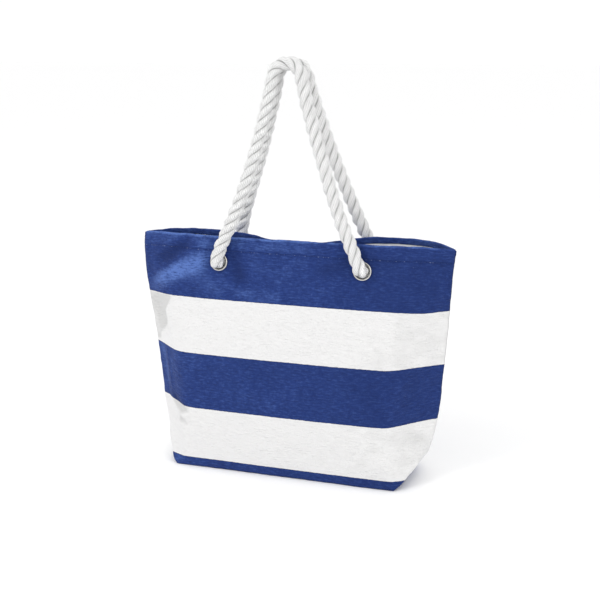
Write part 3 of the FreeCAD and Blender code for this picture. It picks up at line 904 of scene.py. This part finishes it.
def fade_and_painted_light_map(u, v, front):
    """How much paler (above 0) or deeper (below 0) the cloth is coloured: a little random fading, and painted light and
    shade on its folds, rim, seams, eyelets and hollows.
    """
    s = 0 if front else 60
    # a little random patchy fading
    w = 0.12 * fbm(u / 55 + s, v / 40, 601 + s, 3) + 0.16 * fbm(u / 14 + s, v / 9, 611 + s, 2)
    # painted light and shade from the cloth's own relief: ridges paler, hollows deeper
    grid = detail(_uu, _vv, front, None)
    relief = blur(blur(grid, 2), 2)
    relief = relief - blur(blur(relief, 9), 9)
    gi = np.clip((v / V_RIM * N_ROWS).round().astype(int), 0, N_ROWS)
    gj = np.clip(np.searchsorted(U, u - 0.01), 0, NC - 1)
    w += np.clip(0.26 * relief[gi, gj], -0.45, 0.45) * (v >= 0)
    e = HALF_W - np.abs(u)
    # painted highlight along the rim's fold, partly rub wear
    w += 1.1 * np.exp(-((v - V_RIM - 0.6) / 1.5) ** 2) * (0.7 + 0.5 * vnoise(u / 12, 0.5, 621 + s))
    # painted shade in the groove of the hem stitching
    w -= 0.45 * np.exp(-((v - HEM_V) / 1.3) ** 2)
    # painted shade in the groove of the side seams
    w -= 0.55 * np.exp(-(e / 1.6) ** 2)
    ring = np.hypot(np.abs(u) - EYE_X, v - EYE_Z / KZ)
    # painted shadow round each eyelet's ring
    w -= 0.8 * np.exp(-((ring - 13.2) / 1.1) ** 2)
    # painted shade along the bottom edge, where the cloth turns under
    w -= 0.35 * np.exp(-((v - 0.6) / 1.6) ** 2)
    if front:
        # painted light and shade round the left eyelet and out to the rim's left end: painted highlights on the folds,
        # painted shade in the hollows between them and below the eyelet
        w += segment(u, v, (-112, 298), (-172, 272), 13, 0.62)
        w += segment(u, v, (-158, 276), (-212, 256), 11, 0.52)
        w += segment(u, v, (-128, 316), (-108, 302), 9, 0.30)
        w += segment(u, v, (-150, 262), (-96, 254), 10, 0.22)
        w -= segment(u, v, (-146, 316), (-202, 288), 8, 0.50)
        w -= segment(u, v, (-166, 296), (-186, 286), 6, 0.25)
        w -= segment(u, v, (-216, 306), (-209, 256), 7, 0.30)
        w -= segment(u, v, (-86, 310), (-64, 262), 12, 0.42)
        w += segment(u, v, (-98, 266), (-10, 248), 12, 0.16)
        w += segment(u, v, (-40, 312), (60, 300), 9, 0.12)
        # painted shade in the drag by the right eyelet, with a faint painted highlight on the fold below it
        w -= segment(u, v, (84, 304), (36, 284), 8, 0.50)
        w += segment(u, v, (86, 276), (10, 256), 10, 0.10)
        # painted shade: the right part darker, as the light falls from the left
        w -= 0.50 * smooth(10, 130, u)
        # the lower middle a little darker
        w -= 0.20 * smooth(-170, -60, u) * smooth(130, 20, u) * smooth(168, 160, v)
        # painted highlight streak on the fold at the left end of the middle blue band, painted shade just inside it
        w += segment(u, v, (-204, 162), (-200, 88), 8, 0.46)
        w -= segment(u, v, (-190, 162), (-186, 90), 6, 0.34)
        # slightly paler patches in the middle
        w += segment(u, v, (-120, 112), (20, 96), 20, 0.07)
        w += segment(u, v, (-30, 150), (60, 138), 14, 0.08)
        # painted shade in the hollow at the left end of the upper white stripe
        turn = -208 + 34 * np.clip((v - 165) / 75, 0, 1) ** 0.9 + 2.5 * np.sin(v / 6.0)
        side = smooth(turn + 5, turn - 5, u) * smooth(162, 170, v) * smooth(243, 238, v)
        w -= 1.0 * side
        # painted shade under the dents low on the left
        w -= segment(u, v, (-198, 84), (-130, 79), 9, 0.64)
        w -= segment(u, v, (-186, 62), (-154, 58), 8, 0.58)
        w -= segment(u, v, (-184, 92), (-150, 72), 8, 0.52)
        w -= segment(u, v, (-164, 68), (-140, 58), 6, 0.52)
    return w


CANVAS = canvas_material("striped_canvas")
LINING = lining_material()
gap = np.abs(points[BI[:, :]][..., 1] - points[FI[:, :]][..., 1])      # rows x columns


def cut_holes(co, faces, uvs, centre, normal, radius):
    """Opens a round hole for an eyelet and rounds its edge."""
    rel = co - centre
    along = rel @ normal
    flat = rel - np.outer(along, normal)
    r = np.linalg.norm(flat, axis=1)
    close = np.abs(along) < 14
    inside = close & (r < radius + 0.55)
    keep_f = [i for i, f in enumerate(faces) if not all(inside[j] for j in f)]
    gone_f = [i for i, f in enumerate(faces) if all(inside[j] for j in f)]
    edge = set(j for i in gone_f for j in faces[i])
    for j in edge:
        if r[j] > 1e-6:
            co[j] = centre + normal * along[j] + flat[j] / r[j] * radius
    return co, [faces[i] for i in keep_f], [uvs[i] for i in keep_f]


def panel_piece(name, side):
    """The outer canvas of one side with its half of the base, turned over the rim and down inside."""
    I, BI_, Qb = (FI, BASE_F, Q_FB) if side == "front" else (BI, BASE_B, Q_BB)
    flip = side == "back"
    faces, uvs = [], []
    # hem turn: rows over the rim and down its inside
    R = 1.75
    rim, tang = points[I[-1]], points[I[-1]] - points[I[-2]]
    tang = tang / np.linalg.norm(tang, axis=1)[:, None]
    nr = NRM[I[-3]].copy()
    nr[0] = [-1, 0, 0]
    nr[-1] = [1, 0, 0]
    nr -= tang * np.sum(nr * tang, axis=1)[:, None]
    nr /= np.linalg.norm(nr, axis=1)[:, None]
    room = np.minimum(2 * R, 0.44 * gap[-1])
    room = np.maximum(room, 0.3)
    rows, vs = [], []
    for a in (25, 50, 75, 105, 130, 155, 180):
        a = math.radians(a)
        rad = (room / 2)[:, None]
        rows.append(rim - nr * rad + nr * rad * math.cos(a) + tang * np.minimum(rad * 1.5, R) * math.sin(a))
        vs.append(V_RIM + R * a)
    facing = 0.5 * fbm(U / 22, 0.3, 401 if side == "front" else 411, 2)
    for k, s in ((1, 2.2), (2, 4.3), (3, 6.5)):
        g = np.maximum(np.minimum(2 * R + 0.3, 0.44 * gap[-1 - k]), 0.3)
        nk = NRM[I[-1 - k]].copy()
        nk[0], nk[-1] = [-1, 0, 0], [1, 0, 0]
        drop = facing * (k == 3)
        p = points[I[-1 - k]] - nk * (g + 0.2 * facing)[:, None]
        p[:, 2] += drop
        rows.append(p)
        vs.append(V_RIM + math.pi * R + s)
    p = rows[-1] + NRM[I[-4]] * np.minimum(1.3, 0.3 * gap[-4])[:, None] - np.array([0, 0, 0.8])
    rows.append(p)
    vs.append(vs[-1] + 1.6)
    base_n = len(points)
    co = np.concatenate([points] + rows)
    II = np.concatenate([I, base_n + np.arange(len(rows) * NC).reshape(len(rows), NC)])
    vv = np.concatenate([VR, np.array(vs)])
    for r in range(len(II) - 1):
        for c in range(NC - 1):
            f = (II[r, c], II[r, c + 1], II[r + 1, c + 1], II[r + 1, c])
            t = ((U[c], vv[r]), (U[c + 1], vv[r]), (U[c + 1], vv[r + 1]), (U[c], vv[r + 1]))
            if flip:
                f, t = f[::-1], t[::-1]
            if len(set(f)) == 4:
                faces.append(f)
                uvs.append(t)
    for i in range(NBR):
        for k in range(len(cols_in) - 1):
            c = cols_in[k]
            f = (BI_[i, k], BI_[i + 1, k], BI_[i + 1, k + 1], BI_[i, k + 1])
            v0, v1 = -i * BY / NBR, -(i + 1) * BY / NBR
            t = ((U[c], v0), (U[c], v1), (U[c + 1], v1), (U[c + 1], v0))
            if flip:
                f, t = f[::-1], t[::-1]
            if len(set(f)) == 4:
                faces.append(f)
                uvs.append(t)
    # seam allowances, turned in along the side seams and up along the bottom seam
    own = -0.12 if side == "front" else 0.12
    EDGE, VALL = [], []
    for col, sgn in ((0, -1.0), (NC - 1, 1.0)):
        base = len(co)
        co = np.concatenate([co, points[I[:, col]] + np.array([-sgn * 5.0, own * 2, 0])])
        for r in range(N_ROWS):
            f = (base + r, I[r, col], I[r + 1, col], base + r + 1)
            t = ((U[col] + sgn * 5, VR[r]), (U[col], VR[r]), (U[col], VR[r + 1]), (U[col] + sgn * 5, VR[r + 1]))
            if (sgn > 0) != flip:
                f, t = f[::-1], t[::-1]
            faces.append(f)
            uvs.append(t)
        EDGE.append((base, U[col] + sgn * 5))
    base = len(co)
    co = np.concatenate([co, points[BI_[NBR, 1:-1]] + np.array([0, own, 1.7])])
    for k in range(1, len(cols_in) - 2):
        c = cols_in[k]
        f = (BI_[NBR, k], base + k - 1, base + k, BI_[NBR, k + 1])
        t = ((U[c], -BY), (U[c], -BY - 1.7), (U[c + 1], -BY - 1.7), (U[c + 1], -BY))
        if flip:
            f, t = f[::-1], t[::-1]
        faces.append(f)
        uvs.append(t)
    pu, pv = np.zeros(len(co)), np.zeros(len(co))
    for i in range(NBR + 1):
        pu[BI_[i]], pv[BI_[i]] = U[cols_in], -i * BY / NBR
    pu[II], pv[II] = U[None, :], vv[:, None]
    for at, uu in EDGE:
        pu[at:at + N_ROWS + 1], pv[at:at + N_ROWS + 1] = np.clip(uu, -HALF_W, HALF_W), VR
    pu[base:], pv[base:] = U[cols_in[1:-1]], -BY
    # per-point colour shift: painted light and shade, with a little fading
    paleness = fade_and_painted_light_map(pu, pv, side == "front")
    cc, nn = (C_FRONT, N_FRONT) if side == "front" else (C_BACK, N_BACK)
    for sx in (-1, 1):
        co, faces, uvs = cut_holes(co, faces, uvs, cc + X * EYE_X * sx, nn, 11.7)
    used = sorted(set(j for f in faces for j in f))
    m = {j: i for i, j in enumerate(used)}
    faces = [tuple(m[j] for j in f) for f in faces]
    uv = [(p[0] * MM, p[1] * MM) for t in uvs for p in t]
    ob = make_mesh(name, co[used], faces, uv, paleness=paleness[used])
    ob.data.materials.append(CANVAS)
    sol = ob.modifiers.new("cloth_thickness", "SOLIDIFY")
    sol.thickness = 0.0009
    sol.offset = -1.0
    return ob


def lining_piece(name, side):
    """The loose lining of one side, hung from the hem, with its half of the base."""
    I, BI_ = (FI, BASE_F) if side == "front" else (BI, BASE_B)
    flip = side == "back"
    sd = 501 if side == "front" else 521
    top = N_ROWS - 2
    room = 0.43 * gap
    u, v = _uu, _vv
    slack = 0.6 + 1.5 * np.abs(fbm(u / 26, v / 90, sd, 3)) + 1.0 * np.abs(fbm(u / 60, v / 50, sd + 5, 3))
    off = 2.3 + slack * smooth(V_RIM - 8, V_RIM - 30, v) * eye_mask(u, v, 15, 30)
    off = np.maximum(np.minimum(off, room), 0.25)
    co = points.copy()
    nr = NRM.copy()
    nr[I[:, 0]] = [-1, 0, 0]
    nr[I[:, -1]] = [1, 0, 0]
    shift = np.zeros(len(points))
    shift[I.ravel()] = off.ravel()
    base_ids = np.unique(BI_[1:, :])
    shift[base_ids] = np.maximum(shift[base_ids], 2.3)
    co = co - nr * shift[:, None]
    low = np.unique(np.concatenate([BI_.ravel(), I[:2].ravel()]))
    co[low, 2] = np.maximum(co[low, 2], 2.6)
    faces, uvs = [], []
    for r in range(top):
        for c in range(2, NC - 3):          # its edges are caught in the canvas's seam allowance
            f = (I[r, c], I[r, c + 1], I[r + 1, c + 1], I[r + 1, c])
            t = ((U[c], VR[r]), (U[c + 1], VR[r]), (U[c + 1], VR[r + 1]), (U[c], VR[r + 1]))
            if flip:
                f, t = f[::-1], t[::-1]
            faces.append(f)
            uvs.append(t)
    for i in range(NBR):
        for k in range(len(cols_in) - 1):
            c = cols_in[k]
            f = (BI_[i, k], BI_[i + 1, k], BI_[i + 1, k + 1], BI_[i, k + 1])
            v0, v1 = -i * BY / NBR, -(i + 1) * BY / NBR
            t = ((U[c], v0), (U[c], v1), (U[c + 1], v1), (U[c + 1], v0))
            if flip:
                f, t = f[::-1], t[::-1]
            if len(set(f)) == 4:
                faces.append(f)
                uvs.append(t)
    cc, nn = (C_FRONT, N_FRONT) if side == "front" else (C_BACK, N_BACK)
    for sx in (-1, 1):
        co, faces, uvs = cut_holes(co, faces, uvs, cc + X * EYE_X * sx, nn, 12.0)
    used = sorted(set(j for f in faces for j in f))
    m = {j: i for i, j in enumerate(used)}
    faces = [tuple(m[j] for j in f) for f in faces]
    uv = [(p[0] * MM, p[1] * MM) for t in uvs for p in t]
    ob = make_mesh(name, co[used], faces, uv)
    ob.data.materials.append(LINING)
    sol = ob.modifiers.new("cloth_thickness", "SOLIDIFY")
    sol.thickness = 0.0004
    sol.offset = 1.0
    return ob


def stitches(name, side):
    """Topstitching along the hem: one short thread after another, each pulled into the cloth at its ends."""
    I = FI if side == "front" else BI
    r = HEM_V / V_RIM * N_ROWS
    r0 = int(math.floor(r))
    f = r - r0
    line = points[I[r0]] * (1 - f) + points[I[r0 + 1]] * f
    nrm = NRM[I[r0]] * (1 - f) + NRM[I[r0 + 1]] * f
    pitch, length, rad = 3.6, 2.7, 0.34
    n = int((2 * HALF_W - 6) // pitch)
    verts, faces = [], []
    A, S = 7, 7
    for i in range(n):
        uc = -HALF_W + 3 + (i + 0.5) * pitch
        us = uc + np.linspace(-length / 2, length / 2, S)
        p = np.stack([np.interp(us, U, line[:, k]) for k in range(3)], 1)
        nn = np.stack([np.interp(us, U, nrm[:, k]) for k in range(3)], 1)
        nn /= np.linalg.norm(nn, axis=1)[:, None]
        t = np.gradient(p, axis=0)
        t /= np.linalg.norm(t, axis=1)[:, None]
        b = np.cross(t, nn)
        k = np.linspace(-1, 1, S)
        h = 0.34 * (1 - k ** 2) - 0.10 * k ** 2
        rr = rad * np.sqrt(np.clip(1 - (k * 0.93) ** 4, 0.05, 1))
        st = len(verts)
        for j in range(S):
            for a in range(A):
                an = 2 * math.pi * a / A
                verts.append(p[j] + nn[j] * (h[j] + rr[j] * math.sin(an)) + b[j] * rr[j] * math.cos(an))
        for j in range(S - 1):
            for a in range(A):
                a2 = (a + 1) % A
                faces.append((st + j * A + a, st + (j + 1) * A + a, st + (j + 1) * A + a2, st + j * A + a2))
        faces.append(tuple(st + a for a in range(A)))
        faces.append(tuple(st + (S - 1) * A + a for a in reversed(range(A))))
    ob = make_mesh(name, verts, faces)
    ob.data.materials.append(THREAD)
    return ob


THREAD = thread_material()
for _side in ("front", "back"):
    p = panel_piece("%s_canvas" % _side, _side)
    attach(p, "bag")
    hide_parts(_side + "_panel")
    l = lining_piece("%s_lining_cloth" % _side, _side)
    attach(l, "bag")
    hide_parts("lining_" + _side)
    s = stitches("%s_hem_stitches" % _side, _side)
    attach(s, "bag")
    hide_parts("hem_stitching_" + _side)

# ------------------------------------------------------------------ eyelets and washers: the CAD's own shapes
NICKEL = nickel_material()
for _name, _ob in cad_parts.items():
    if _name.startswith(("eyelet_", "washer_")):
        _ob.data.materials.clear()
        _ob.data.materials.append(NICKEL)
        _ob.data.polygons.foreach_set("use_smooth", np.ones(len(_ob.data.polygons), bool))
        _ob.data.polygons.foreach_set("material_index", np.zeros(len(_ob.data.polygons), np.int32))

# ------------------------------------------------------------------ stage and light
fl = bpy.data.meshes.new("floor")
fl.from_pydata([(-30, -30, 0), (30, -30, 0), (30, 30, 0), (-30, 30, 0)], [], [(0, 1, 2, 3)])
floor = bpy.data.objects.new("floor", fl)
scene.collection.objects.link(floor)
fm, fnt, fb = material("floor")
fb.inputs["Base Color"].default_value = (0.97, 0.97, 0.97, 1)
fb.inputs["Roughness"].default_value = 0.9
fb.inputs["Specular IOR Level"].default_value = 0.1
fl.materials.append(fm)

world = bpy.data.worlds.new("studio")
scene.world = world
world.use_nodes = True
world.node_tree.nodes["Background"].inputs[1].default_value = 1.03
world.node_tree.nodes["Background"].inputs[0].default_value = (1.0, 1.0, 1.0, 1)


def softbox(name, loc, target, size, power, colour=(1, 1, 1)):
    ld = bpy.data.lights.new(name, "AREA")
    ld.shape = "RECTANGLE"
    ld.size, ld.size_y = size
    ld.energy = power
    ld.color = colour
    ob = bpy.data.objects.new(name, ld)
    scene.collection.objects.link(ob)
    ob.location = loc
    ob.rotation_euler = (Vector(target) - Vector(loc)).to_track_quat("-Z", "Y").to_euler()
    return ob


softbox("key", (-1.3, -1.7, 1.9), (0, 0, 0.2), (1.0, 1.0), 15.0)
softbox("fill", (2.2, -1.4, 1.1), (0, 0, 0.25), (1.8, 1.8), 10.5)
scene.view_settings.view_transform = "Standard"
scene.view_settings.look = "None"
